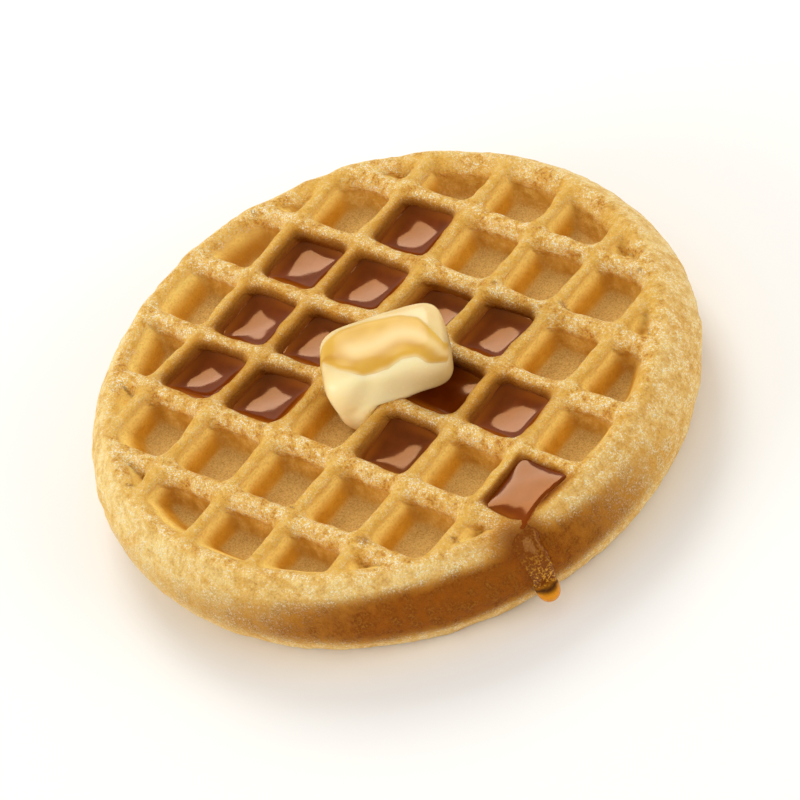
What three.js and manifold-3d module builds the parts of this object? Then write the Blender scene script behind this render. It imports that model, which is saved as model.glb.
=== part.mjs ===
// Round toaster waffle with a melting pat of butter and maple syrup in some of its pockets.
// Millimetres, +Z up. The origin is the middle of the underside. The grid of pockets runs along
// X (columns) and Y (rows), and the middle pocket, column 0 and row 0, lies on the Z axis.

import * as THREE from 'three';
import { mergeVertices } from 'three/addons/utils/BufferGeometryUtils.js';
import Module from 'manifold-3d';

const wasm = await Module();
wasm.setup();

// Driving dimensions of the waffle
const thickness = 16.5;
const outerRadius = 51; // at half height, where the side bulges most
const crestRadius = 45.9; // where the side meets the top and the bottom
const sideFullness = 1.6; // power of the side's bulge: 2 is an ellipse, 1 a straight bevel
const sideSteps = 10;
const turnSteps = 72;

const pitch = 13.4; // from one ridge to the next
const reach = 3; // pockets on each side of the middle one
const fieldRadius = 45.6; // the pockets stop at this circle
const rimLean = 2; // how much more the walls along that circle lean than the others
const pocketDepth = 5.5;
const cornerCut = 0.15; // part of a pocket's half width that its rounded corners take

// A pocket's wall from its floor up: depth below the face, and half the pocket's width there.
// The last ring is above the face, so that the tool cuts cleanly through it.
const wall = [
  { depth: pocketDepth, half: 3.85 },
  { depth: 1.7, half: 5.1 },
  { depth: 0, half: 6.1 },
  { depth: -1, half: 6.55 },
];
const faceHalf = wall[2].half;
const headroom = -wall[3].depth;

// The batter pulls the ridges a little out of line around these places.
const leans = [
  { x: 1, y: 20, spread: 12, dx: 0.8, dy: 0 },
  { x: 27, y: 7, spread: 11, dx: -0.7, dy: -0.3 },
  { x: -27, y: -20, spread: 11, dx: -0.7, dy: 0 },
  { x: -30, y: -4, spread: 9, dx: 0.8, dy: -0.5 },
];

// What lies on the waffle keeps this much air to it.
const clearance = 0.3;

// Butter: a soft rectangular pat that lies across the middle pocket's ridges
const butter = {
  length: 20.4,
  width: 13.2,
  height: 8.4,
  x: 4.1,
  y: -2.3,
  lift: 3.7, // height of its middle above the waffle's face
  turn: 43.5, // degrees from X to its long side
  tilt: 5, // degrees by which its far right end is raised
  squareness: 0.34, // 1 is an ellipsoid, 0 a box
  around: 28,
  upwards: 14,
};
// The corner that has melted down into the next pocket, measured from the middle of the pat
const sag = { along: -8.6, across: 5, spread: 4.2, drop: 5 };

// Syrup: the pockets that hold some, and how full each is
const pools = [
  { column: -1, row: 2, fill: 0.5 },
  { column: -2, row: 1, fill: 0.5 },
  { column: -1, row: 1, fill: 0.5 },
  { column: 0, row: 1, fill: 0.28 },
  { column: 1, row: 1, fill: 0.42 },
  { column: -2, row: 0, fill: 0.5 },
  { column: -1, row: 0, fill: 0.5 },
  { column: 1, row: 0, fill: 0.5 },
  { column: 2, row: 0, fill: 0.5 },
  { column: -2, row: -1, fill: 0.5 },
  { column: -1, row: -1, fill: 0.5 },
  { column: 1, row: -1, fill: 0.42 },
  { column: 3, row: -1, fill: 0.88 },
];

// The full pocket spills over the rim here, and ends in a hanging drop.
const run = {
  angle: -25.4,
  start: 45.9, // distance from the axis at which the film begins
  width: 4,
  film: 0.8,
  dropRadius: 1.9,
  dropReach: 51.2, // distance from the axis to the middle of the drop
  dropHeight: 4.4,
};

const crustMaterial = new THREE.MeshStandardMaterial({ color: 0xe3b25c, roughness: 0.8, metalness: 0 });
const butterMaterial = new THREE.MeshStandardMaterial({ color: 0xf7e3ae, roughness: 0.35, metalness: 0 });
const syrupMaterial = new THREE.MeshStandardMaterial({ color: 0x7a3508, roughness: 0.08, metalness: 0 });

// A closed three.js geometry as a solid that can be cut and joined
function toSolid(geometry) {
  geometry.deleteAttribute('normal');
  geometry.deleteAttribute('uv');
  const merged = mergeVertices(geometry, 1e-5);
  const mesh = new wasm.Mesh({
    numProp: 3,
    vertProperties: new Float32Array(merged.attributes.position.array),
    triVerts: new Uint32Array(merged.index.array),
  });
  return new wasm.Manifold(mesh);
}

function toGeometry(solid) {
  const { vertProperties, triVerts } = solid.getMesh();
  const geometry = new THREE.BufferGeometry();
  geometry.setAttribute('position', new THREE.BufferAttribute(vertProperties, 3));
  geometry.setIndex(new THREE.BufferAttribute(triVerts, 1));
  return geometry;
}

function toMesh(solid, name, material) {
  const geometry = toGeometry(solid);
  geometry.computeVertexNormals();
  const mesh = new THREE.Mesh(geometry, material);
  mesh.name = name;
  return mesh;
}

// Joins solids two by two, which keeps each step small.
function joinAll(solids) {
  let layer = solids;
  while (layer.length > 1) {
    const next = [];
    for (let i = 0; i < layer.length; i += 2) {
      next.push(i + 1 < layer.length ? layer[i].add(layer[i + 1]) : layer[i]);
    }
    layer = next;
  }
  return layer[0];
}

// A profile of (radius, height) points turned about the Z axis
function turned(profile) {
  const geometry = new THREE.LatheGeometry(profile, turnSteps);
  geometry.rotateX(Math.PI / 2);
  return toSolid(geometry);
}

// How far the batter has pulled the grid at a place
function leanAt(x, y) {
  const shift = new THREE.Vector2();
  for (const lean of leans) {
    const distance = Math.hypot(x - lean.x, y - lean.y) / lean.spread;
    const weight = Math.exp(-0.5 * distance * distance);
    shift.x += lean.dx * weight;
    shift.y += lean.dy * weight;
  }
  return shift;
}

// The waffle without its pockets, grown by a gap: two flat faces and a bulging side
function disc(gap) {
  const halfHeight = thickness / 2;
  const profile = [new THREE.Vector2(0, -gap)];
  for (let i = 0; i <= sideSteps; i += 1) {
    const height = -Math.cos((Math.PI * i) / sideSteps);
    const bulge = Math.max(0, 1 - Math.abs(height) ** sideFullness) ** (1 / sideFullness);
    const radius = crestRadius + (outerRadius - crestRadius) * bulge + gap;
    profile.push(new THREE.Vector2(radius, halfHeight + height * (halfHeight + gap)));
  }
  profile.push(new THREE.Vector2(0, thickness + gap));
  return turned(profile);
}

// The rings of a pocket's wall when the pocket is shrunk by a gap all round and at its floor
function shrunkWall(gap) {
  return wall.map((ring, i) => ({
    height: thickness - ring.depth + (i === 0 ? gap : 0),
    half: ring.half - gap,
  }));
}

// The round field that the pockets fill; it narrows with depth, so they run out gently at the rim
function field(gap) {
  const profile = [new THREE.Vector2(0, thickness - pocketDepth + gap)];
  for (const ring of shrunkWall(gap)) {
    profile.push(new THREE.Vector2(fieldRadius + rimLean * (ring.half - faceHalf), ring.height));
  }
  profile.push(new THREE.Vector2(0, thickness + headroom));
  return turned(profile);
}

// A square with cut corners and a half width of 1
function pocketOutline() {
  const shape = new THREE.Shape();
  const edge = 1 - cornerCut;
  const corners = [[1, 1], [-1, 1], [-1, -1], [1, -1]];
  corners.forEach(([x, y], i) => {
    const turnsFromX = i % 2 === 0;
    const first = turnsFromX ? [x, y * edge] : [x * edge, y];
    const second = turnsFromX ? [x * edge, y] : [x, y * edge];
    if (i === 0) {
      shape.moveTo(...first);
    } else {
      shape.lineTo(...first);
    }
    shape.lineTo(...second);
  });
  shape.closePath();
  return shape;
}

// The hollow of one pocket in the upper face, shrunk by a gap
function hollow(column, row, gap) {
  const rings = shrunkWall(gap);
  const steps = rings.length - 1;
  const geometry = new THREE.ExtrudeGeometry(pocketOutline(), { depth: 1, steps, bevelEnabled: false });
  const position = geometry.attributes.position;
  for (let i = 0; i < position.count; i += 1) {
    const ring = rings[Math.round(position.getZ(i) * steps)];
    const x = column * pitch + position.getX(i) * ring.half;
    const y = row * pitch + position.getY(i) * ring.half;
    const lean = leanAt(x, y);
    position.setXYZ(i, x + lean.x, y + lean.y, ring.height);
  }
  return toSolid(geometry).intersect(field(gap));
}

// All pockets of the upper face; the corners of the grid lie outside the field
function hollows(gap) {
  const solids = [];
  for (let row = -reach; row <= reach; row += 1) {
    for (let column = -reach; column <= reach; column += 1) {
      if (Math.abs(row) < reach || Math.abs(column) < reach) {
        solids.push(hollow(column, row, gap));
      }
    }
  }
  return joinAll(solids);
}

// The underside has the same pockets, turned over about the X axis.
function makeWaffle() {
  const upper = hollows(0);
  const turnedOver = toGeometry(upper).rotateX(Math.PI).translate(0, 0, thickness);
  return disc(0).subtract(upper).subtract(toSolid(turnedOver));
}

// Keeps the sign, and takes rounding errors about zero as zero, so that seams and poles stay closed.
function signedPower(value, power) {
  return Math.abs(value) < 1e-9 ? 0 : Math.sign(value) * Math.abs(value) ** power;
}

// The pat is a sphere squared up to a soft block, with one melted corner, pressed onto the ridges.
function makeButter() {
  const geometry = new THREE.SphereGeometry(1, butter.around, butter.upwards);
  geometry.rotateX(Math.PI / 2);
  const position = geometry.attributes.position;
  for (let i = 0; i < position.count; i += 1) {
    const level = Math.hypot(position.getX(i), position.getY(i));
    const angle = Math.atan2(position.getY(i), position.getX(i));
    const spread = signedPower(level, butter.squareness);
    const x = (butter.length / 2) * spread * signedPower(Math.cos(angle), butter.squareness);
    const y = (butter.width / 2) * spread * signedPower(Math.sin(angle), butter.squareness);
    const z = (butter.height / 2) * signedPower(position.getZ(i), butter.squareness);
    const distance = Math.hypot(x - sag.along, y + sag.across) / sag.spread;
    const lowness = 0.5 - z / butter.height;
    position.setXYZ(i, x, y, z - sag.drop * lowness * Math.exp(-0.5 * distance * distance));
  }
  geometry.rotateY(THREE.MathUtils.degToRad(-butter.tilt));
  geometry.rotateZ(THREE.MathUtils.degToRad(butter.turn));
  geometry.translate(butter.x, butter.y, thickness + butter.lift);
  const under = disc(clearance).subtract(hollows(clearance));
  return toSolid(geometry).subtract(under);
}

// Syrup fills the lower part of its pocket.
function makePool({ column, row, fill }) {
  const bottom = thickness - pocketDepth;
  const level = bottom + fill * pocketDepth;
  const slab = new THREE.BoxGeometry(2 * pitch, 2 * pitch, level - bottom);
  slab.translate(column * pitch, row * pitch, (level + bottom) / 2);
  return hollow(column, row, clearance).intersect(toSolid(slab));
}

// A film that follows the side of the waffle, and the drop that it feeds
function makeRun() {
  const top = thickness + pitch;
  const strip = new THREE.BoxGeometry(outerRadius, run.width, top - run.dropHeight);
  strip.translate(run.start + outerRadius / 2, 0, (top + run.dropHeight) / 2);
  const drop = new THREE.SphereGeometry(run.dropRadius, 16, 10);
  drop.rotateX(Math.PI / 2);
  drop.translate(run.dropReach, 0, run.dropHeight);
  for (const geometry of [strip, drop]) {
    geometry.rotateZ(THREE.MathUtils.degToRad(run.angle));
  }
  const film = disc(clearance + run.film).intersect(toSolid(strip));
  return film.add(toSolid(drop)).subtract(disc(clearance));
}

const group = new THREE.Group();
group.name = 'round_waffle';
group.add(toMesh(makeWaffle(), 'waffle', crustMaterial));
group.add(toMesh(makeButter(), 'butter', butterMaterial));
pools.forEach((pool, i) => {
  group.add(toMesh(makePool(pool), `syrup_pool_${i + 1}`, syrupMaterial));
});
group.add(toMesh(makeRun(), 'syrup_run', syrupMaterial));

export default group;
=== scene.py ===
import math

import bmesh
import bpy
import numpy as np
from mathutils import Matrix, Vector, noise
from mathutils.bvhtree import BVHTree


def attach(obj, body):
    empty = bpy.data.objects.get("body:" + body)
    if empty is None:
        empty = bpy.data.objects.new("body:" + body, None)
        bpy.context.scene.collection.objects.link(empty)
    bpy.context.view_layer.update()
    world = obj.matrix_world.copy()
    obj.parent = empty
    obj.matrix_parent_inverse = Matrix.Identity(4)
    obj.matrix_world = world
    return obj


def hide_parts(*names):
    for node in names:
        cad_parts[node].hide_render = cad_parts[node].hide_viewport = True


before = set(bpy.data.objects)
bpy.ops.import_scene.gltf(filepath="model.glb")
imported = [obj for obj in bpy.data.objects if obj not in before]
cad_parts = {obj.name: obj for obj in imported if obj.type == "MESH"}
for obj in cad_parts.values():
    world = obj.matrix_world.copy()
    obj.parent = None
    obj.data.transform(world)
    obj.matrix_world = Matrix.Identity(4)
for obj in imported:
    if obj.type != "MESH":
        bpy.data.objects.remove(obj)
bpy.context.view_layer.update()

mm = 0.001


def linearColour(hexCode):
    # sRGB hex to the linear values that the shaders take
    values = [int(hexCode[i:i + 2], 16) / 255 for i in (1, 3, 5)]
    linear = [v / 12.92 if v <= 0.04045 else ((v + 0.055) / 1.055) ** 2.4 for v in values]
    return (*linear, 1.0)


def addNode(tree, kind, settings=None, links=None):
    # adds one node; settings are properties or socket values, links are nodes or sockets
    node = tree.nodes.new("ShaderNode" + kind)
    for name, value in (settings or {}).items():
        if isinstance(name, str) and hasattr(node, name):
            setattr(node, name, value)
    for name, value in (settings or {}).items():
        if isinstance(name, int):
            node.inputs[name].default_value = value
        elif not hasattr(node, name):
            next(s for s in node.inputs if s.enabled and s.name == name).default_value = value
    for name, source in (links or {}).items():
        target = node.inputs[name] if isinstance(name, int) else None
        target = target or next(s for s in node.inputs if s.enabled and s.name == name)
        if isinstance(source, bpy.types.Node):
            source = next(s for s in source.outputs if s.enabled)
        tree.links.new(source, target)
    return node


def newMaterial(name):
    material = bpy.data.materials.new(name)
    material.use_nodes = True
    material.node_tree.nodes.clear()
    return material, material.node_tree


def meshFrom(name, bm):
    mesh = bpy.data.meshes.new(name)
    bm.to_mesh(mesh)
    bm.free()
    return mesh


def addObject(name, data):
    thing = bpy.data.objects.new(name, data)
    bpy.context.scene.collection.objects.link(thing)
    return thing


def newPiece(name, bm, replaced, material):
    piece = addObject(name, meshFrom(name, bm))
    for polygon in piece.data.polygons:
        polygon.use_smooth = True
    piece.data.materials.append(material)
    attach(piece, "root")
    if replaced:
        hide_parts(replaced)
    return piece


def remeshedCopy(node, voxel):
    # a merged copy of a CAD solid, cut into even small faces that can be sculpted
    bm = bmesh.new()
    bm.from_mesh(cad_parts[node].data)
    bmesh.ops.remove_doubles(bm, verts=bm.verts, dist=0.001 * mm)
    copy = addObject(node + "Copy", meshFrom(node + "Copy", bm))
    mesh = copy.data
    remesh = copy.modifiers.new("evenFaces", "REMESH")
    remesh.mode = "VOXEL"
    remesh.voxel_size = voxel * mm
    remesh.adaptivity = 0.0
    evaluated = copy.evaluated_get(bpy.context.evaluated_depsgraph_get())
    bm = bmesh.new()
    bm.from_mesh(evaluated.to_mesh())
    evaluated.to_mesh_clear()
    bpy.data.objects.remove(copy)
    bpy.data.meshes.remove(mesh)
    return bm


def smoothed(bm, rounds):
    for _ in range(rounds):
        bmesh.ops.smooth_vert(bm, verts=bm.verts, factor=0.5,
                              use_axis_x=True, use_axis_y=True, use_axis_z=True)


def step(low, high, value):
    # 0 at low and 1 at high, with a soft start and end
    t = np.clip((value - low) / (high - low), 0.0, 1.0)
    return t * t * (3.0 - 2.0 * t)


def bell(value, middle, spread):
    # 1 at the middle, falling off softly on both sides
    return np.exp(-0.5 * ((value - middle) / spread) ** 2)


seedShift = (17.3, 5.1, -9.7)  # how far apart the noises of two seeds lie


def noiseAt(points, size, seed):
    # one smooth noise value for each point, in millimetres
    shift = Vector([seed * apart for apart in seedShift])
    return np.array([noise.noise(Vector(p) / size + shift) for p in points])


def readVerts(bm):
    # places in millimetres, and normals
    bm.normal_update()
    places = np.array([v.co[:] for v in bm.verts]) / mm
    normals = np.array([v.normal[:] for v in bm.verts])
    return places, normals


def moveVerts(bm, places):
    for vert, place in zip(bm.verts, places):
        vert.co = Vector(place) * mm


def paint(piece, name, red, green, blue, alpha=None):
    # four masks kept on the vertices, which a material reads by name
    layer = piece.data.color_attributes.new(name, "FLOAT_COLOR", "POINT")
    values = np.ones((len(piece.data.vertices), 4))
    for channel, mask in enumerate((red, green, blue, alpha)):
        if mask is not None:
            values[:, channel] = mask
    layer.data.foreach_set("color", values.ravel())


grid = {
    "pitch": 13.4,  # mm from ridge to ridge
    "thickness": 16.5,
    "pocketDepth": 5.5,
    # where the real ridges lean: x, y and spread in mm, then how far they move along x and y
    "leans": [(1, 20, 12, 0.8, 0), (27, 7, 11, -0.7, -0.3), (-27, -20, 11, -0.7, 0), (-30, -4, 9, 0.8, -0.5)],
    "wallDepths": [-1, 0, 1.7, 5.5],
    "wallHalves": [6.55, 6.1, 5.1, 3.85],  # half of a pocket's width at those depths
}

pools = [  # column, row, share of the pocket's depth that is filled
    (-1, 2, 0.5), (-2, 1, 0.5), (-1, 1, 0.5), (0, 1, 0.28), (1, 1, 0.42), (-2, 0, 0.5), (-1, 0, 0.5),
    (1, 0, 0.5), (2, 0, 0.5), (-2, -1, 0.5), (-1, -1, 0.5), (1, -1, 0.42), (3, -1, 0.88),
]
overflow = 0.8  # a pocket that is filled beyond this share runs over the rim
runAngle = -25.4  # degrees from +X to the syrup that runs down the rim


def gridPlace(x, y):
    # the even grid's own coordinates at a place, without the leans of the real ridges
    u = np.array(x, dtype=float)
    v = np.array(y, dtype=float)
    for leanX, leanY, spread, dx, dy in grid["leans"]:
        weight = bell(x, leanX, spread) * bell(y, leanY, spread)
        u = u - dx * weight
        v = v - dy * weight
    return u, v


def leanAt(x, y):
    # how far the real grid lies from the even one at a place
    u, v = gridPlace(x, y)
    return x - u, y - v


# Baked batter crust: open-grained and matt, golden, paler on the ridges with painted glints where fat would
# sparkle, deeper gold on the walls that the iron pressed with painted shade in their deep corners, tan and
# finely speckled on the pocket floors.
crustLook = {
    "ridge": "#EDBB56",
    "ridgePale": "#FBE09A",
    "ridgeBrown": "#C27C26",
    "slopeGold": "#FFDA78",
    "wall": "#DA9C30",
    "wallDeep": "#B47008",
    "farWall": "#E0AC4C",
    "farDeep": "#BC8228",
    "floor": "#E0B566",
    "floorFleck": "#A8792F",
    "rim": "#F8D684",
    "rimGold": "#E8B450",
    "rimBrown": "#BE7A26",
    "rimWarm": "#DC9A2C",
    "toastHalf": "#C48628",  # where the browning starts
    "toast": "#985206",
    "toastDeep": "#7A3E04",
    "toastGold": "#CC8C30",
    "speck": "#8E4C0C",
    "damp": "#C27E1C",  # crust that a little syrup has reached
    "soaked": "#7C3804",  # crust that has drunk syrup
    # painted highlight: near-white specks that stand for the glints of fat on the ridges and rim
    "paintedGlint": "#FFF8E2",
    "crumb": 0.43,  # mm, the size of one crumb of the crust
    "fleck": 0.28,  # mm
    "patch": 2.1,  # mm, small paler and browner places
    "cloud": 6.5,  # mm, slow change of the bake
    "bump": 0.55,  # mm between the lowest and the highest grain
}
crustLayers = (  # the masks that the crust keeps on its vertices
    ("crustMasks", ("ridge", "floor", "toast", "slope")),
    ("wetMasks", ("wet", "rim", "speck", "corner")),
    ("sideMasks", ("facing", "warm", "dry", "row")),
)


def makeCrustMaterial():
    look = crustLook
    material, tree = newMaterial("bakedBatterCrust")
    place = addNode(tree, "TexCoord").outputs["Object"]
    signal = {}
    for layer, names in crustLayers:
        masks = addNode(tree, "Attribute", {"attribute_name": layer})
        parts = addNode(tree, "SeparateColor", links={"Color": masks.outputs["Color"]})
        sources = [parts.outputs[channel] for channel in ("Red", "Green", "Blue")] + [masks.outputs["Alpha"]]
        signal.update(zip(names, sources))
    for name, detail, rough in (
            ("crumb", 3.0, 0.6),
            ("fleck", 2.0, 0.7),
            ("patch", 4.0, 0.62),
            ("cloud", 4.0, 0.6)):
        signal[name] = addNode(tree, "TexNoise", {"Scale": 1 / (look[name] * mm), "Detail": detail,
                                                  "Roughness": rough}, {"Vector": place})
    # which part of a grain shows, and how strongly
    for name, source, low, high, weak, strong in (
            ("paleCrumb", "crumb", 0.44, 0.62, 0.0, 1.0),
            ("palePatch", "patch", 0.42, 0.62, 0.0, 1.0),
            ("brownCrumb", "crumb", 0.56, 0.40, 0.25, 1.0),
            ("brownPatch", "patch", 0.54, 0.36, 0.0, 1.0),
            ("wallPatch", "patch", 0.35, 0.65, 0.0, 0.42),
            ("wallFleck", "crumb", 0.48, 0.66, 0.0, 0.28),
            ("farPatch", "patch", 0.66, 0.34, 0.1, 0.8),
            ("floorDark", "fleck", 0.50, 0.64, 0.0, 0.5),
            ("floorLight", "fleck", 0.46, 0.34, 0.0, 0.4),
            ("rimCloud", "cloud", 0.42, 0.66, 0.0, 0.8),
            ("toastPatch", "patch", 0.40, 0.60, 0.0, 0.7),
            ("damped", "wet", 0.0, 0.45, 0.0, 0.8),
            ("drenched", "wet", 0.35, 1.0, 0.0, 0.95),
            ("toastStart", "toast", 0.18, 0.6, 0.0, 0.9),
            # where the painted glint specks lie: the finest grain within some patches
            ("glintFleck", "fleck", 0.54, 0.60, 0.0, 1.0),
            ("glintPatch", "patch", 0.42, 0.56, 0.15, 1.0)):
        signal[name] = addNode(tree, "MapRange", {"From Min": low, "From Max": high, "To Min": weak,
                                                  "To Max": strong}, {"Value": signal[source]})
    # the edge of a zone wanders with the grain
    for name, source, grain, share, low, high in (
            ("ridgeEdge", "ridge", "patch", 0.7, 0.55, 1.15),
            ("toastEdge", "toast", "patch", 0.8, 0.5, 1.3),
            ("speckEdge", "speck", "crumb", 1.0, 1.1, 1.7)):
        moved = addNode(tree, "Math", {"operation": "MULTIPLY_ADD", 1: share},
                        {0: signal[grain], 2: signal[source]})
        signal[name] = addNode(tree, "MapRange", {"From Min": low, "From Max": high}, {"Value": moved})
    for name, operation, first, second in (
            ("paleGrain", "MULTIPLY", "paleCrumb", "palePatch"),
            ("brownGrain", "MULTIPLY", "brownCrumb", "brownPatch"),
            ("paleSoft", "MULTIPLY", "paleGrain", "row"),
            ("paleFaint", "MULTIPLY", "paleGrain", 0.3),
            ("brownSoft", "MULTIPLY", "brownGrain", "row"),
            ("brownFaint", "MULTIPLY", "brownGrain", 0.55),
            ("warmed", "MULTIPLY", "warm", 0.45),
            ("wetGloss", "MULTIPLY", "wet", 0.35),
            # painted shade: the deep corners of the pockets are darkened towards the walls' deep gold
            ("browningAndCornerShade", "MULTIPLY", "corner", 0.8),
            # where the painted glints lie, and where the crust is glossier: ridges and rim, more on the
            # ridges along X, not where syrup or browning lies
            ("rimShine", "MULTIPLY", "rim", 0.75),
            ("shiny", "MAXIMUM", "ridge", "rimShine"),
            ("shinyRow", "MULTIPLY", "shiny", "row"),
            ("shinyDry", "MULTIPLY", "shinyRow", "dry"),
            ("glintGrain", "MULTIPLY", "glintFleck", "glintPatch"),
            ("paintedGlintPart", "MULTIPLY", "glintGrain", "shinyDry"),
            ("gloss", "MAXIMUM", "paintedGlintPart", "wetGloss"),
            ("rough", "MAXIMUM", "ridge", "rim"),
            ("fleckHeight", "MULTIPLY", "fleck", 0.5),
            ("grainHeight", "ADD", "fleckHeight", "crumb"),
            ("patchHeight", "MULTIPLY", "patch", 1.6),
            ("height", "ADD", "grainHeight", "patchHeight")):
        settings = {"operation": operation}
        links = {0: signal[first]}
        if isinstance(second, float):
            settings[1] = second
        else:
            links[1] = signal[second]
        signal[name] = addNode(tree, "Math", settings, links)

    # each tone starts from a colour, and others are laid over it where their mask is
    tones = {name: linearColour(value) for name, value in look.items() if isinstance(value, str)}
    for name, first, layers in (
            ("farWalls", "farWall", (("farPatch", "farDeep"), ("paleFaint", "ridgePale"))),
            ("walls", "wall", (("wallPatch", "wallDeep"), ("slope", "slopeGold"), ("wallFleck", "wallDeep"),
                               ("facing", "farWalls"))),
            ("floors", "floor", (("floorDark", "floorFleck"), ("floorLight", "rim"))),
            ("ridges", "ridge", (("brownSoft", "ridgeBrown"), ("paleSoft", "ridgePale"))),
            ("rims", "rim", (("rimCloud", "rimGold"), ("warmed", "rimWarm"), ("brownFaint", "rimBrown"),
                             ("paleSoft", "ridgePale"))),
            ("toasts", "toast", (("toastPatch", "toastDeep"), ("paleFaint", "toastGold"))),
            ("crust", "walls", (("floor", "floors"), ("browningAndCornerShade", "wallDeep"), ("ridgeEdge", "ridges"),
                                ("rim", "rims"), ("damped", "damp"), ("toastStart", "toastHalf"),
                                ("toastEdge", "toasts"), ("drenched", "soaked"), ("speckEdge", "speck"),
                                ("paintedGlintPart", "paintedGlint")))):
        tone = tones[first]
        for mask, over in layers:
            settings = {"data_type": "RGBA"}
            links = {"Factor": signal[mask]}
            for side, colour in (("A", tone), ("B", tones[over])):
                (settings if isinstance(colour, tuple) else links)[side] = colour
            tone = addNode(tree, "Mix", settings, links)
        tones[name] = tone

    roughness = addNode(tree, "MapRange", {"To Min": 0.58, "To Max": 0.22}, {"Value": signal["gloss"]})
    bumpDepth = addNode(tree, "MapRange", {"To Min": 0.35, "To Max": 1.0}, {"Value": signal["rough"]})
    height = addNode(tree, "Math", {"operation": "MULTIPLY"}, {0: signal["height"], 1: bumpDepth})
    bump = addNode(tree, "Bump", {"Strength": 0.9, "Distance": look["bump"] * mm}, {"Height": height})
    shader = addNode(tree, "BsdfPrincipled", {"Specular IOR Level": 0.09, "IOR": 1.45,
                                              "Subsurface Weight": 0.15,
                                              "Subsurface Radius": (1.0, 0.6, 0.25),
                                              "Subsurface Scale": 1.2 * mm},
                     {"Base Color": tones["crust"], "Roughness": roughness, "Normal": bump})
    addNode(tree, "OutputMaterial", links={"Surface": shader})
    return material


# Soft butter: creamy fat with an oily sheen; light goes some way into it, so its edges look soft.
butterLook = {
    "cream": "#EBD095",
    "shade": "#E2C27F",
    # painted light: a paler cream on the faces that look to the front, as if lit from there
    "paintedFrontLight": "#FFECB8",
    "low": "#C09C5A",  # towards the crust, where the pat shades itself
    "streak": 5.0,  # mm
    "grain": 1.3,  # mm, unevenness of the cut fat
}


def makeButterMaterial():
    look = butterLook
    material, tree = newMaterial("softButter")
    place = addNode(tree, "TexCoord").outputs["Object"]
    cloud = addNode(tree, "TexNoise", {"Scale": 1 / (look["streak"] * mm), "Detail": 2.0}, {"Vector": place})
    fine = addNode(tree, "TexNoise", {"Scale": 1 / (look["grain"] * mm), "Detail": 3.0}, {"Vector": place})
    spread = addNode(tree, "MapRange", {"From Min": 0.35, "From Max": 0.7}, {"Value": cloud})
    colour = addNode(tree, "Mix", {"data_type": "RGBA", "A": linearColour(look["cream"]),
                                   "B": linearColour(look["shade"])}, {"Factor": spread})
    masks = addNode(tree, "Attribute", {"attribute_name": "butterMasks"})
    zones = addNode(tree, "SeparateColor", links={"Color": masks.outputs["Color"]})
    # the painted light on the faces that look to the front
    colour = addNode(tree, "Mix", {"data_type": "RGBA", "B": linearColour(look["paintedFrontLight"])},
                     {"Factor": zones.outputs["Red"], "A": colour})
    colour = addNode(tree, "Mix", {"data_type": "RGBA", "B": linearColour(look["low"])},
                     {"Factor": zones.outputs["Green"], "A": colour})
    roughness = addNode(tree, "MapRange", {"To Min": 0.14, "To Max": 0.34}, {"Value": fine})
    bump = addNode(tree, "Bump", {"Strength": 0.35, "Distance": 0.12 * mm}, {"Height": fine})
    shader = addNode(tree, "BsdfPrincipled", {"Specular IOR Level": 0.35, "IOR": 1.46,
                                              "Subsurface Weight": 0.4,
                                              "Subsurface Radius": (1.0, 0.75, 0.35),
                                              "Subsurface Scale": 2.5 * mm},
                     {"Base Color": colour, "Roughness": roughness, "Normal": bump})
    addNode(tree, "OutputMaterial", links={"Surface": shader})
    return material


# A thin coat of syrup on butter: golden where it is thin, amber where it gathers in beads, glossy, with a
# pale painted highlight streak along it.
glazeLook = {
    "thin": "#DDB04A",
    "thick": "#C99434",
    "edge": "#EBD095",  # the butter's own cream
    # painted highlight: the pale streak along the band
    "streak": "#EDD092",
    "cloud": 4.0,  # mm
}


def makeGlazeMaterial():
    look = glazeLook
    material, tree = newMaterial("thinSyrupGlaze")
    masks = addNode(tree, "Attribute", {"attribute_name": "glazeMasks"})
    zones = addNode(tree, "SeparateColor", links={"Color": masks.outputs["Color"]})
    place = addNode(tree, "TexCoord").outputs["Object"]
    cloud = addNode(tree, "TexNoise", {"Scale": 1 / (look["cloud"] * mm), "Detail": 1.0}, {"Vector": place})
    spread = addNode(tree, "MapRange", {"From Min": 0.4, "From Max": 0.7, "To Max": 0.5}, {"Value": cloud})
    depth = addNode(tree, "Math", {"operation": "ADD", "use_clamp": True},
                    {0: spread, 1: zones.outputs["Green"]})
    colour = addNode(tree, "Mix", {"data_type": "RGBA", "A": linearColour(look["thin"]),
                                   "B": linearColour(look["thick"])}, {"Factor": depth})
    # the painted highlight streak
    colour = addNode(tree, "Mix", {"data_type": "RGBA", "B": linearColour(look["streak"])},
                     {"Factor": zones.outputs["Blue"], "A": colour})
    colour = addNode(tree, "Mix", {"data_type": "RGBA", "A": linearColour(look["edge"])},
                     {"Factor": zones.outputs["Red"], "B": colour})
    shader = addNode(tree, "BsdfPrincipled", {"Roughness": 0.22, "IOR": 1.48, "Specular IOR Level": 0.15,
                                              "Subsurface Weight": 0.15,
                                              "Subsurface Radius": (1.0, 0.8, 0.4),
                                              "Subsurface Scale": 1.2 * mm}, {"Base Color": colour})
    addNode(tree, "OutputMaterial", links={"Surface": shader})
    return material


# Maple syrup lying in a pocket: dark brown where it is deep and amber where it thins against a wall, with
# the hard gloss of a thick sugar liquid. It is opaque here, so the crust under it needs no finish.
syrupLook = {
    "deep": "#5A1E00",
    "body": "#7C3204",
    "amber": "#AC5E10",
    "sheen": "#F2AA58",  # tints the reflections, as light that has been in the syrup does
    "cloud": 2.4,  # mm
}


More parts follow.
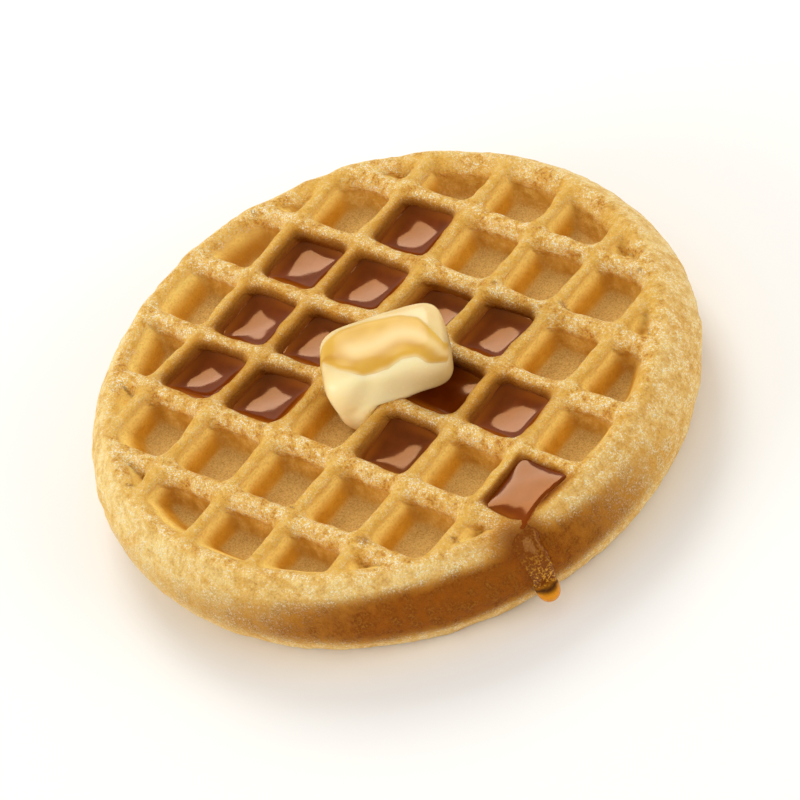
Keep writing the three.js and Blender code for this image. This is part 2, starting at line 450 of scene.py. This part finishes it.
def makeSyrupMaterial():
    look = syrupLook
    material, tree = newMaterial("mapleSyrup")
    masks = addNode(tree, "Attribute", {"attribute_name": "syrupMasks"})
    zones = addNode(tree, "SeparateColor", links={"Color": masks.outputs["Color"]})
    place = addNode(tree, "TexCoord").outputs["Object"]
    cloud = addNode(tree, "TexNoise", {"Scale": 1 / (look["cloud"] * mm), "Detail": 3.0}, {"Vector": place})
    spread = addNode(tree, "MapRange", {"From Min": 0.36, "From Max": 0.66,
                                        "To Min": -0.18, "To Max": 0.18}, {"Value": cloud})
    depth = addNode(tree, "Math", {"operation": "ADD", "use_clamp": True},
                    {0: zones.outputs["Red"], 1: spread})
    body = addNode(tree, "Mix", {"data_type": "RGBA", "A": linearColour(look["body"]),
                                 "B": linearColour(look["deep"])}, {"Factor": depth})
    colour = addNode(tree, "Mix", {"data_type": "RGBA", "B": linearColour(look["amber"])},
                     {"Factor": zones.outputs["Green"], "A": body})
    shader = addNode(tree, "BsdfPrincipled", {"Roughness": 0.1, "IOR": 1.48, "Specular IOR Level": 0.72,
                                              "Specular Tint": linearColour(look["sheen"])},
                     {"Base Color": colour})
    addNode(tree, "OutputMaterial", links={"Surface": shader})
    return material


# The same syrup as a thin run over the rim: a clear glossy film through which the grain of the crust shows
# in gold and brown, and a bright drop of amber at its end.
runLook = {
    "brown": "#723608",
    "gold": "#DC9C2C",
    "drop": "#DE8C06",
    "neckShade": "#3E1600",  # painted shade: the dark band where the film turns into the drop
    "sheen": "#F0C078",
    "grain": 0.4,  # mm
}


def makeRunMaterial():
    look = runLook
    material, tree = newMaterial("clearSyrupRun")
    masks = addNode(tree, "Attribute", {"attribute_name": "runMasks"})
    zones = addNode(tree, "SeparateColor", links={"Color": masks.outputs["Color"]})
    place = addNode(tree, "TexCoord").outputs["Object"]
    grain = addNode(tree, "TexNoise", {"Scale": 1 / (look["grain"] * mm), "Detail": 3.0}, {"Vector": place})
    share = addNode(tree, "MapRange", {"From Min": 0.48, "From Max": 0.66}, {"Value": grain})
    seen = addNode(tree, "Math", {"operation": "MULTIPLY"}, {0: share, 1: zones.outputs["Blue"]})
    film = addNode(tree, "Mix", {"data_type": "RGBA", "A": linearColour(look["brown"]),
                                 "B": linearColour(look["gold"])}, {"Factor": seen})
    drop = addNode(tree, "Mix", {"data_type": "RGBA", "A": linearColour(look["drop"]),
                                 "B": linearColour(look["neckShade"])}, {"Factor": zones.outputs["Green"]})
    colour = addNode(tree, "Mix", {"data_type": "RGBA"},
                     {"Factor": zones.outputs["Red"], "A": drop, "B": film})
    bump = addNode(tree, "Bump", {"Strength": 0.6, "Distance": 0.2 * mm}, {"Height": seen})
    shader = addNode(tree, "BsdfPrincipled", {"Roughness": 0.07, "IOR": 1.48, "Specular IOR Level": 0.5,
                                              "Specular Tint": linearColour(look["sheen"])},
                     {"Base Color": colour, "Normal": bump})
    addNode(tree, "OutputMaterial", links={"Surface": shader})
    return material


crustMaterial = makeCrustMaterial()
butterMaterial = makeButterMaterial()
glazeMaterial = makeGlazeMaterial()
syrupMaterial = makeSyrupMaterial()
runMaterial = makeRunMaterial()
print("materials made")


waffle = {
    "voxel": 0.64,  # mm, so that the crust stays under 200,000 triangles
    "smoothRounds": 2,
    "lowest": 0.02,  # mm over the ground, so that the crust stays within its size
    "swell": 0.2,  # mm given back after smoothing
    "lump": 0.46,  # mm, slow unevenness of the batter
    "lumpSize": 5.0,
    "pit": 0.17,  # mm, small swellings and pits
    "pitSize": 2.0,
    "grain": 0.06,  # mm
    "grainSize": 1.15,
    # how strongly each of these shows everywhere, and how much is added on the ridges and on the rim
    "shares": {"swell": (0.3, 1.4, 0.3), "lump": (0.35, 0.65, 0.3), "pit": (0.25, 0.9, 0.6),
               "grain": (0.2, 1.0, 1.0)},
    "knot": 0.28,  # mm that the batter stands higher where two ridges cross
    "knotSize": 2.2,
    "dip": (44.6, -18.8, 3.4, 1.3),  # x, y, spread and depth in mm of the place where syrup runs over
    "dipHeight": (9.5, 15.0),
    # from here on a pair says where a zone starts and where it is full, in mm unless a note says otherwise
    "fieldEnd": (45.4, 47.6),  # from the middle
    "rimStart": (45.8, 47.6),
    "facingWay": (-0.05, 0.75),  # how squarely a wall faces -Y; such walls take their own tone, and the ridges' crust reaches further down them
    "facingHeight": (8, 9),
    "floorLevel": (0.45, 0.97),  # how level the crust lies
    "floorDepth": (3.2, 5.2),
    "ridgeDepth": (0.1, 1.4),
    "ridgeOver": 1.2,  # mm that the ridges' crust reaches further down the walls that face -Y
    "ridgeEnd": (46.0, 48.5),
    "slopeDepth": (0.8, 3.6),
    # painted shade in the pockets' deep corners: where it starts and is full, from a pocket's middle and in
    # depth
    "cornerPlace": (2.4, 4.6),
    "cornerDepth": (1.6, 4.2),
    "rowSide": (-2.0, 1.5),  # ridges along X take more of the pale and brown grain, and of the painted glints, than those along Y
    "rowEnd": (45, 47),
    "rowLeast": 0.35,  # what the ridges along Y have of that grain and of those glints
    "toastAngle": -37.0,  # degrees, the middle of the browned stretch of the rim
    "toastSpread": 23.0,
    "toastFoot": (3.0, 8.5),
    "toastTop": (12.4, 15.6),
    "band": (0.3, -75, 45, 9.0, 3.0),  # a fainter stretch: share, angle, its spread, height, its spread
    "warmAngle": (5, 45),  # degrees, the middle and spread of the side that baked a little darker
    "warmFoot": (4.0, 9.0),
    # toasted specks: x, y and size in mm
    "specks": [(21.4, -33.1, 1.5), (34.7, -26.6, 1.1), (-9.5, -20.3, 0.9), (-22.8, -39.2, 1.0),
               (6.3, -32.3, 0.7), (8.4, 20.7, 0.9), (21.8, 21.6, 1.0), (-35.4, -18.1, 0.8),
               (-41.5, 18.3, 0.9), (-37.4, 3.5, 0.9), (29.4, 32.7, 0.8), (-22.0, 36.0, 0.8)],
    "speckLong": 1.4,  # times as long along X as along Y
    "speckDepth": 3.0,  # mm under the ridges, the deepest that they go
    # crust that drinks syrup: round a pool, round the full pool, and up the walls over the syrup
    "soakPart": (5.6, 7.5),
    "soakFull": (5.6, 6.4),
    "soakUp": (0.7, 4.6),
    "soakFoot": 8,
    "soakEnd": (45.4, 47.0),
    "crestDepth": (0.3, 1.3),
    "crestLevel": (0.5, 0.9),
    "crestDry": 1.1,  # how dry the crests of the rows stay
    "stain": [(43.6, -22.0, 3.2, 3.4), (43.8, -19.6, 2.1, 2.1)],  # x, y and their spreads
    "stainFoot": (9.5, 14.0),
    "stainShare": 0.95,
    "beside": ((-6.0, -1.5), (1.6, 2.6)),  # the stain along the run: its start and end across the run
    "besideOut": (43.0, 47.5),
    "besideFoot": (4.0, 8.0),
    "besideShare": 0.7,
    "wetDulls": 1.3,  # how soon syrup and browning take the painted glints and their gloss off the crust
    "toastDulls": 1.4,
}


def crustZones(places, normals):
    # masks from 0 to 1, by name, for the parts of the crust that bake or soak differently, and for where
    # shade and glints are painted
    x, y, z = places.T
    upper = z > grid["thickness"] / 2
    radius = np.hypot(x, y)
    angle = np.degrees(np.arctan2(y, x))
    depth = np.where(upper, grid["thickness"] - z, z)
    inField = 1 - step(*waffle["fieldEnd"], radius)
    cellU, cellV = gridPlace(x, np.where(upper, y, -y))
    inU = np.abs(cellU - grid["pitch"] * np.round(cellU / grid["pitch"]))
    inV = np.abs(cellV - grid["pitch"] * np.round(cellV / grid["pitch"]))
    zone = {"rim": step(*waffle["rimStart"], radius)}
    zone["facing"] = step(*waffle["facingWay"], -normals[:, 1]) * step(*waffle["facingHeight"], z) * inField
    flat = step(*waffle["floorLevel"], np.abs(normals[:, 2]))
    zone["floor"] = flat * step(*waffle["floorDepth"], depth) * inField
    ridge = 1 - step(*waffle["ridgeDepth"], depth - waffle["ridgeOver"] * zone["facing"])
    zone["ridge"] = ridge * (1 - step(*waffle["ridgeEnd"], radius))
    zone["slope"] = 1 - step(*waffle["slopeDepth"], depth)
    # the deep corners of each pocket, where shade is painted
    corner = step(*waffle["cornerPlace"], inU) * step(*waffle["cornerPlace"], inV)
    zone["corner"] = corner * step(*waffle["cornerDepth"], depth) * inField
    onRow = np.maximum(step(*waffle["rowSide"], inV - inU), step(*waffle["rowEnd"], radius))
    zone["row"] = waffle["rowLeast"] + (1 - waffle["rowLeast"]) * onRow
    away = np.hypot(inU - grid["pitch"] / 2, inV - grid["pitch"] / 2)
    zone["knot"] = bell(away, 0, waffle["knotSize"]) * zone["ridge"]

    toast = bell(angle, waffle["toastAngle"], waffle["toastSpread"])
    toast = toast * step(*waffle["toastFoot"], z) * (1 - step(*waffle["toastTop"], z))
    share, bandAngle, angleSpread, bandHeight, heightSpread = waffle["band"]
    toast = toast + share * bell(angle, bandAngle, angleSpread) * bell(z, bandHeight, heightSpread)
    zone["toast"] = np.clip(toast, 0, 1) * zone["rim"]
    warm = np.maximum(bell(angle, *waffle["warmAngle"]), 1 - step(*waffle["warmFoot"], z))
    zone["warm"] = warm * zone["rim"]
    speck = np.zeros_like(x)
    for speckX, speckY, size in waffle["specks"]:
        away = np.hypot(x - speckX, (y - speckY) * waffle["speckLong"])
        speck = np.maximum(speck, bell(away, 0, size) * (depth < waffle["speckDepth"]) * upper)
    zone["speck"] = speck

    wet = np.zeros_like(x)
    u, v = gridPlace(x, y)
    for column, row, fill in pools:
        soak = waffle["soakPart"] if fill < overflow else waffle["soakFull"]
        inside = 1 - step(*soak, np.abs(u - column * grid["pitch"]))
        inside = inside * (1 - step(*soak, np.abs(v - row * grid["pitch"]))) * (z > waffle["soakFoot"])
        inside = inside * (1 - step(*waffle["soakEnd"], radius))
        level = grid["thickness"] - grid["pocketDepth"] * (1 - fill)
        wet = 1 - (1 - wet) * (1 - inside * (1 - step(*waffle["soakUp"], z - level)))
    crest = (1 - step(*waffle["crestDepth"], depth)) * step(*waffle["crestLevel"], normals[:, 2])
    wet = wet * (1 - waffle["crestDry"] * crest * (zone["row"] - waffle["rowLeast"]))
    # the stain lies mostly on the lower side of the run
    stain = np.zeros_like(x)
    for stainX, stainY, spreadX, spreadY in waffle["stain"]:
        stain = np.maximum(stain, bell(x, stainX, spreadX) * bell(y, stainY, spreadY))
    stain = stain * step(*waffle["stainFoot"], z)
    turn = np.radians(runAngle)
    across = -x * np.sin(turn) + y * np.cos(turn)
    forward = x * np.cos(turn) + y * np.sin(turn)
    start, end = waffle["beside"]
    beside = step(*start, across) * (1 - step(*end, across))
    beside = beside * step(*waffle["besideOut"], forward) * step(*waffle["besideFoot"], z)
    zone["wet"] = np.maximum(wet, np.maximum(waffle["stainShare"] * stain, waffle["besideShare"] * beside))
    browningAndCornerShade = np.clip(waffle["toastDulls"] * zone["toast"], 0, 1)
    zone["dry"] = np.clip(1 - waffle["wetDulls"] * zone["wet"], 0, 1) * (1 - browningAndCornerShade)
    return zone


def makeWaffle():
    bm = remeshedCopy("waffle", waffle["voxel"])
    smoothed(bm, waffle["smoothRounds"])
    places, normals = readVerts(bm)
    zone = crustZones(places, normals)
    share = {name: whole + onRidge * zone["ridge"] + onRim * zone["rim"]
             for name, (whole, onRidge, onRim) in waffle["shares"].items()}
    out = waffle["swell"] * share["swell"] + waffle["knot"] * zone["knot"]
    for seed, name in enumerate(("lump", "pit", "grain"), 1):
        out += noiseAt(places, waffle[name + "Size"], seed) * waffle[name] * share[name]
    dipX, dipY, spread, dip = waffle["dip"]
    x, y, z = places.T
    lip = bell(x, dipX, spread) * bell(y, dipY, spread) * step(*waffle["dipHeight"], z)
    places = places + normals * out[:, None]
    places[:, 2] -= dip * lip
    places[:, 2] = np.clip(places[:, 2], waffle["lowest"], None)
    moveVerts(bm, places)
    zone = crustZones(*readVerts(bm))
    piece = newPiece("waffleCrust", bm, "waffle", crustMaterial)
    for layer, names in crustLayers:
        paint(piece, layer, *[zone[name] for name in names])
    print("waffle:", len(piece.data.polygons), "faces")
    return piece


waffleCrust = makeWaffle()


butter = {
    "voxel": 0.34,
    "smoothRounds": 14,
    "turn": 43.5,  # degrees from +X to the pat's length
    "middle": (4.1, -2.3, 20.2),
    "swell": 0.3,  # mm given back after smoothing
    "soft": 0.45,  # mm, slow unevenness of the melting fat
    "softSize": 6.0,
    # a soft fold that runs down the front: its depth, its place along the pat, its lean and its spread
    "fold": (0.7, -4.5, 0.5, 1.5),
    "foldFront": (-3.0, -6.0),
    "tip": 1.8,  # mm by which the melted corner is lifted, so that it ends rounder
    "tipDown": (-2.0, -5.5),
    "tipFront": (-5.0, -7.5),
    "frontWay": (-0.1, 0.7),  # how squarely a face looks to the front
    "lowShare": 0.85,  # the shade towards the crust, along the pat and upwards
    "lowAlong": (-2.0, 9.0),
    "lowUp": (3.2, -1.5),
    "glaze": 0.2,  # mm of syrup at the middle of the band
    "glazeSink": 0.12,  # mm that the coat lies inside the butter where there is no syrup
    # the band's two edges: mm along the pat, mm across it
    "glazeBack": [(-12, 3.2), (-9.1, 4.6), (-6, 5.9), (-1.9, 5.9), (4, 4.6), (6.9, 2.8), (9.9, -2.6)],
    "glazeFront": [(-12, -0.8), (-9.9, -1.0), (-7.2, -4.0), (-3.5, -6.4), (0.7, -6.8), (3.2, -6.0),
                   (5.5, -6.4), (7.5, -7.8), (10.2, -8.6)],
    "glazeEdge": (-0.3, 1.6),
    "glazeDown": 1.0,  # mm under the pat's middle where the band ends
    "glazeLift": (1.5, 8.5, 9.8),  # it ends this much higher at the far end, between these places along
    "shoulder": 3.4,  # mm over the middle, where the top turns into the sides
    "unrolled": 8,  # mm of the sides at most
    "lowBead": (0.3, 1.2, 0.9),  # share of the thickening at the front edge, its place and spread in mm
    "bead": (0.55, 0.3, 0.06),  # the same within the band, as shares of its width
    # a painted highlight streak along the band, its strength, place and spread as shares of its width
    "streak": (0.8, 0.5, 0.12),
    "streakAlong": (-7.5, -4.5),
    "wander": 0.04,  # how far the two wander within the band
    "beadWave": 0.6,  # radians for each mm along the pat
    "streakWave": 0.5,
    "full": (0.8, 0.4),  # share of the thickness without a bead, and what a bead adds
    "fade": (0.35, 0.95),  # where the look of the band's edge starts and where it is full
    "narrowest": 0.5,  # mm, so that the band never has no width
}


def butterFrame(places):
    # places along the pat, across it and above its middle
    turn = math.radians(butter["turn"])
    x = places[:, 0] - butter["middle"][0]
    y = places[:, 1] - butter["middle"][1]
    along = x * math.cos(turn) + y * math.sin(turn)
    across = -x * math.sin(turn) + y * math.cos(turn)
    return along, across, places[:, 2] - butter["middle"][2]


def makeButter():
    bm = remeshedCopy("butter", butter["voxel"])
    smoothed(bm, butter["smoothRounds"])
    places, normals = readVerts(bm)
    along, across, up = butterFrame(places)
    deep, place, lean, spread = butter["fold"]
    fold = deep * bell(along - lean * up, place, spread) * step(*butter["foldFront"], across)
    soft = noiseAt(places, butter["softSize"], 5) * butter["soft"]
    places = places + normals * (butter["swell"] + soft - fold)[:, None]
    places[:, 2] += butter["tip"] * step(*butter["tipDown"], up) * step(*butter["tipFront"], across)
    moveVerts(bm, places)
    glazeMesh = bm.copy()
    places, normals = readVerts(glazeMesh)
    along, across, up = butterFrame(places)
    turn = math.radians(butter["turn"])
    # painted light: how much a face looks to the front, where the paler cream goes
    paintedFrontLight = step(*butter["frontWay"], normals[:, 0] * math.sin(turn) - normals[:, 1] * math.cos(turn))
    low = butter["lowShare"] * step(*butter["lowAlong"], along) * step(*butter["lowUp"], up)
    pat = newPiece("butterPat", bm, "butter", butterMaterial)
    paint(pat, "butterMasks", paintedFrontLight, low, paintedFrontLight)

    edgeBack = np.interp(along, *zip(*butter["glazeBack"]))
    edgeFront = np.interp(along, *zip(*butter["glazeFront"]))
    # measured on down the front and back faces, as if the pat were unrolled
    across = across + np.sign(across) * np.clip(butter["shoulder"] - up, 0, butter["unrolled"])
    lift, liftStart, liftEnd = butter["glazeLift"]
    over = up + butter["glazeDown"] - lift * step(liftStart, liftEnd, along)
    cover = step(*butter["glazeEdge"], np.minimum(np.minimum(edgeBack - across, across - edgeFront), over))
    share = (across - edgeFront) / np.maximum(edgeBack - edgeFront, butter["narrowest"])
    amount, place, spread = butter["lowBead"]
    bead = amount * bell(across - edgeFront, place, spread)
    amount, place, spread = butter["bead"]
    wander = butter["wander"] * np.sin(along * butter["beadWave"])
    bead += amount * bell(share - wander, place, spread)
    # the pale painted highlight streak along the band
    amount, place, spread = butter["streak"]
    wander = butter["wander"] * np.sin(along * butter["streakWave"])
    streak = amount * bell(share - wander, place, spread) * step(*butter["streakAlong"], along)
    plain, gain = butter["full"]
    thick = butter["glaze"] * cover * (plain + gain * bead) - butter["glazeSink"] * (1 - cover)
    moveVerts(glazeMesh, places + normals * thick[:, None])
    piece = newPiece("butterGlaze", glazeMesh, None, glazeMaterial)
    paint(piece, "glazeMasks", step(*butter["fade"], cover), np.clip(bead * cover, 0, 1), streak)
    print("butter made")


makeButter()


pool = {
    "cuts": 34,
    "reachIn": 0.7,  # mm into the wall, so that no gap shows
    "underside": 0.3,  # mm that the underside reaches into the pocket's floor
    "rise": 0.8,  # mm that the syrup climbs at a wall
    "climb": 1.05,  # mm over which it climbs
    "cornerEase": 0.75,  # how much the climb fades towards the corners
    # slow hollow of each surface, per mm: the deeper it is, the smaller the patch of light that lies in it
    "bowl": {1: 0.015, 2: 0.01, 3: 0.017, 4: 0.01, 5: 0.013, 6: 0.01, 7: 0.01, 8: 0.004, 9: 0.011,
             10: 0.021, 11: 0.0135, 12: 0.007, 13: 0.007},
    "bowlRing": 12.0,  # mm squared, where the hollow crosses the level
    # how each surface leans, which moves the patch of light in it: rise per mm along x and y
    "lean": {1: (0.03, 0.05), 2: (0.0, -0.06), 3: (0.04, 0.04), 4: (0.0, 0.03), 5: (-0.01, 0.03),
             6: (0.035, 0.045), 7: (0.01, -0.01), 8: (-0.11, -0.09), 9: (0.0, 0.03), 10: (0.05, -0.02),
             11: (0.04, -0.02), 12: (-0.05, 0.09), 13: (-0.01, 0.01)},
    "ripple": 0.05,  # mm, unevenness of the thick surface
    "rippleSize": 3,
    "rippleApart": 7.1,  # keeps the ripples of two pools different
    "brimDepth": 0.1,  # mm, how far the middle of the full pool lies under the ridges
    "brimFall": 1.15,  # mm that the full pool rounds down at its edge
    "brimRound": 1.7,  # mm over which it rounds down
    "dive": 6.0,  # mm that the full pool dives into the crust beyond the rim's crest
    "diveStart": 45.6,  # mm from the middle
    "diveWidth": (-1.3, 1.1),
    "spill": (2.5, -25.0, 3.8),  # mm that it reaches further out at the run, at this angle, and its spread
    "deep": (0.55, 0.6),  # how deep its colour is in the middle, and how much that changes to each side
    "amber": (0.45, 0.5),  # the same for the amber of the edge
    "amberEdge": (0.72, 1.0),
    "amberEnd": (44.0, 46.0),
}


def wallHalf(depth):
    # half of a pocket's width at a depth
    return float(np.interp(depth, grid["wallDepths"], grid["wallHalves"]))


def makePool(index, column, row, fill):
    brim = fill > overflow
    depth = pool["brimDepth"] if brim else grid["pocketDepth"] * (1 - fill)
    half = wallHalf(depth)
    level = grid["thickness"] - depth
    outer = half + pool["reachIn"]
    bm = bmesh.new()
    bmesh.ops.create_grid(bm, x_segments=pool["cuts"], y_segments=pool["cuts"], size=outer * mm)
    underside = list(bm.verts)
    extruded = bmesh.ops.extrude_face_region(bm, geom=list(bm.faces))
    surface = [g for g in extruded["geom"] if isinstance(g, bmesh.types.BMVert)]
    for vert in underside:
        vert.co.x *= (wallHalf(grid["pocketDepth"]) + pool["underside"]) / outer
        vert.co.y *= (wallHalf(grid["pocketDepth"]) + pool["underside"]) / outer
        vert.co.z = (grid["thickness"] - grid["pocketDepth"] - pool["underside"]) * mm
    rise = -pool["brimFall"] if brim else pool["rise"]
    length = pool["brimRound"] if brim else pool["climb"]
    leanX, leanY = pool["lean"][index]
    for vert in surface:
        x, y = vert.co.x / mm, vert.co.y / mm
        fromX = max(half - abs(x), 0)
        fromY = max(half - abs(y), 0)
        # the climb fades towards the corners, so that the flat part reaches into them
        climb = math.exp(-fromX / length) * (1 - pool["cornerEase"] * (y / outer) ** 2)
        climb += math.exp(-fromY / length) * (1 - pool["cornerEase"] * (x / outer) ** 2)
        hollow = pool["bowl"][index] * (x * x + y * y - pool["bowlRing"])
        size = pool["rippleSize"]
        spot = Vector((x / size + index * pool["rippleApart"], y / size, 0.0))
        ripple = pool["ripple"] * noise.noise(spot)
        vert.co.z = (level + rise * climb + hollow + leanX * x + leanY * y + ripple) * mm
    bmesh.ops.recalc_face_normals(bm, faces=bm.faces)
    x0, y0 = column * grid["pitch"], row * grid["pitch"]
    for vert in bm.verts:
        x, y = x0 + vert.co.x / mm, y0 + vert.co.y / mm
        shiftX, shiftY = leanAt(x, y)
        x, y = x + shiftX, y + shiftY
        vert.co.x = x * mm
        vert.co.y = y * mm
        if brim:  # it runs over the rim's crest on one side, and dives into the crust beyond
            further, bearing, spread = pool["spill"]
            reach = pool["diveStart"] + further * bell(math.degrees(math.atan2(y, x)), bearing, spread)
            low, high = pool["diveWidth"]
            vert.co.z -= pool["dive"] * float(step(reach + low, reach + high, math.hypot(x, y))) * mm
    places, _ = readVerts(bm)
    piece = newPiece("syrupPool%02d" % index, bm, "syrup_pool_%d" % index, syrupMaterial)
    u, v = gridPlace(places[:, 0], places[:, 1])
    u = (u - x0) / half
    v = (v - y0) / half
    near = np.clip(0.5 * (u - v), -1, 1)  # towards the +X -Y corner, where the light comes through
    middle, change = pool["deep"]
    deep = np.clip(middle - change * near, 0, 1)
    edge = step(*pool["amberEdge"], np.maximum(np.abs(u), np.abs(v)))
    middle, change = pool["amber"]
    amber = np.clip(edge * (middle + change * near), 0, 1)
    amber = amber * (1 - step(*pool["amberEnd"], np.hypot(places[:, 0], places[:, 1])))
    paint(piece, "syrupMasks", deep, amber, edge)


for number, (column, row, fill) in enumerate(pools, 1):
    makePool(number, column, row, fill)
print("syrup pools:", len(pools))


run = {
    "voxel": 0.2,
    "smoothRounds": 6,
    "lastRounds": 3,
    "film": 0.5,  # mm of syrup over the crust
    "filmFrom": (5.0, 6.6),  # mm up: the drop below keeps its own shape, and the film above is laid on
    "half": 2.35,  # mm, half of the film's width
    "narrow": (0.2, 8.0, 13.0),  # share by which it narrows upwards, between these heights
    "bead": (0.38, 1.7, 0.32),  # mm, a thicker thread along one side, its place and spread
    "sink": 0.06,  # mm that the film's edges sink into the crust
    "endSink": (0.5, 15.4, 16.4),  # mm that its upper end sinks, between these heights
    "outside": 0.1,  # how squarely a face looks out, for it to be the film's surface
    "inside": 0.5,  # mm that the other side lies in the crust
    "look": (5.6, 6.3),  # mm up, where the drop's look changes into the film's
    "neckShade": (5.6, 0.28),  # mm, the place and spread of the painted dark band
    "dim": (0.85, 7.5, 13.0),  # share by which the gold grain fades upwards, between these heights
}


def makeRun():
    # the film is laid on the sculpted crust, and the drop keeps its own round shape
    crustTree = BVHTree.FromObject(waffleCrust, bpy.context.evaluated_depsgraph_get())
    bm = remeshedCopy("syrup_run", run["voxel"])
    smoothed(bm, run["smoothRounds"])
    places, normals = readVerts(bm)
    height = places[:, 2]
    turn = math.radians(runAngle)
    way = np.array([math.cos(turn), math.sin(turn), 0.0])
    side = np.array([-math.sin(turn), math.cos(turn), 0.0])
    outwards = normals @ way + normals[:, 2] * np.sign(height - grid["thickness"] / 2)
    film = step(*run["filmFrom"], height)
    across = places @ side
    amount, low, high = run["narrow"]
    wide = across * (1 + amount * step(low, high, height))
    spread = places + side * (wide - across)[:, None]
    share = np.clip(np.abs(wide) / run["half"], 0, 1)
    amount, place, width = run["bead"]
    thick = run["film"] * (1 - share ** 2) + amount * bell(wide, place, width) - run["sink"]
    amount, low, high = run["endSink"]
    thick -= amount * step(low, high, height)
    for i, place in enumerate(spread):
        if film[i] <= 0:
            continue
        near, normal, _, _ = crustTree.find_nearest(Vector(place) * mm)
        out = thick[i] if outwards[i] > run["outside"] else -run["inside"]
        laid = np.array(near) / mm + np.array(normal) * out
        places[i] = places[i] + (laid - places[i]) * film[i]
    moveVerts(bm, places)
    smoothed(bm, run["lastRounds"])
    places, _ = readVerts(bm)
    height = places[:, 2]
    piece = newPiece("syrupRun", bm, "syrup_run", runMaterial)
    amount, low, high = run["dim"]
    paint(piece, "runMasks", step(*run["look"], height), bell(height, *run["neckShade"]),
          1 - amount * step(low, high, height))


makeRun()
print("syrup run made")


studio = {  # in metres unless a note says otherwise
    "floorSize": 3.0,
    "floorDrop": 0.2,  # mm under the waffle's lowest ridges
    "floorColour": "#F6F6F5",
    "sky": 0.66,
    "skyColour": "#FFFDFA",
    "lampColour": "#FFFCF6",
    "aim": (0.0, 0.0, 0.012),
    # name, way from the waffle, distance, size and power
    "lamps": (
        ("keySoftbox", (-0.5627, 0.4371, 0.7017), 0.9, (0.42, 0.42), 3.4),  # shines in the pools
        ("frontFill", (-0.45, -0.85, 0.32), 1.0, (0.7, 0.4), 4.2),  # the near rim and walls that face -Y
        ("sideFill", (0.9, 0.25, 0.45), 1.0, (0.7, 0.4), 3.0),  # the walls that face +X
    ),
}


def makeFloor():
    bm = bmesh.new()
    bmesh.ops.create_grid(bm, x_segments=1, y_segments=1, size=studio["floorSize"] / 2)
    bmesh.ops.translate(bm, verts=bm.verts, vec=(0.0, 0.0, -studio["floorDrop"] * mm))
    floor = addObject("floor", meshFrom("floor", bm))
    material, tree = newMaterial("paleBoard")
    shader = addNode(tree, "BsdfPrincipled", {"Base Color": linearColour(studio["floorColour"]),
                                              "Roughness": 0.9, "Specular IOR Level": 0.1})
    addNode(tree, "OutputMaterial", links={"Surface": shader})
    floor.data.materials.append(material)


def makeSoftbox(name, way, away, size, power):
    light = bpy.data.lights.new(name, "AREA")
    light.shape = "RECTANGLE"
    light.size, light.size_y = size
    light.energy = power
    light.color = linearColour(studio["lampColour"])[:3]
    lamp = addObject(name, light)
    way = Vector(way).normalized()
    lamp.location = Vector(studio["aim"]) + way * away
    lamp.rotation_euler = way.to_track_quat("Z", "Y").to_euler()


makeFloor()
for lampValues in studio["lamps"]:
    makeSoftbox(*lampValues)

world = bpy.data.worlds.new("studioAir")
bpy.context.scene.world = world
world.use_nodes = True
sky = world.node_tree.nodes["Background"]
sky.inputs["Color"].default_value = linearColour(studio["skyColour"])
sky.inputs["Strength"].default_value = studio["sky"]
bpy.context.scene.view_settings.view_transform = "Standard"


cameraSetup = {
    "aim": (4.34, -2.93, 11.19),  # mm
    "distance": 773.0,
    "azimuth": -37.81,  # degrees from +X
    "elevation": 44.01,
    "roll": -21.54,
    "lens": 216.0,
    "sensor": 36.0,
    "nearest": 0.01,  # m
}


def makeCamera():
    setup = cameraSetup
    azimuth, elevation = math.radians(setup["azimuth"]), math.radians(setup["elevation"])
    level = math.cos(elevation)
    away = Vector((level * math.cos(azimuth), level * math.sin(azimuth), math.sin(elevation)))
    data = bpy.data.cameras.new("camera")
    data.lens = setup["lens"]
    data.sensor_width = setup["sensor"]
    data.clip_start = setup["nearest"]
    camera = addObject("camera", data)
    turned = away.to_track_quat("Z", "Y").to_matrix() @ Matrix.Rotation(math.radians(setup["roll"]), 3, "Z")
    place = (Vector(setup["aim"]) + away * setup["distance"]) * mm
    camera.matrix_world = Matrix.Translation(place) @ turned.to_4x4()
    bpy.context.scene.camera = camera


makeCamera()
print("stage set")
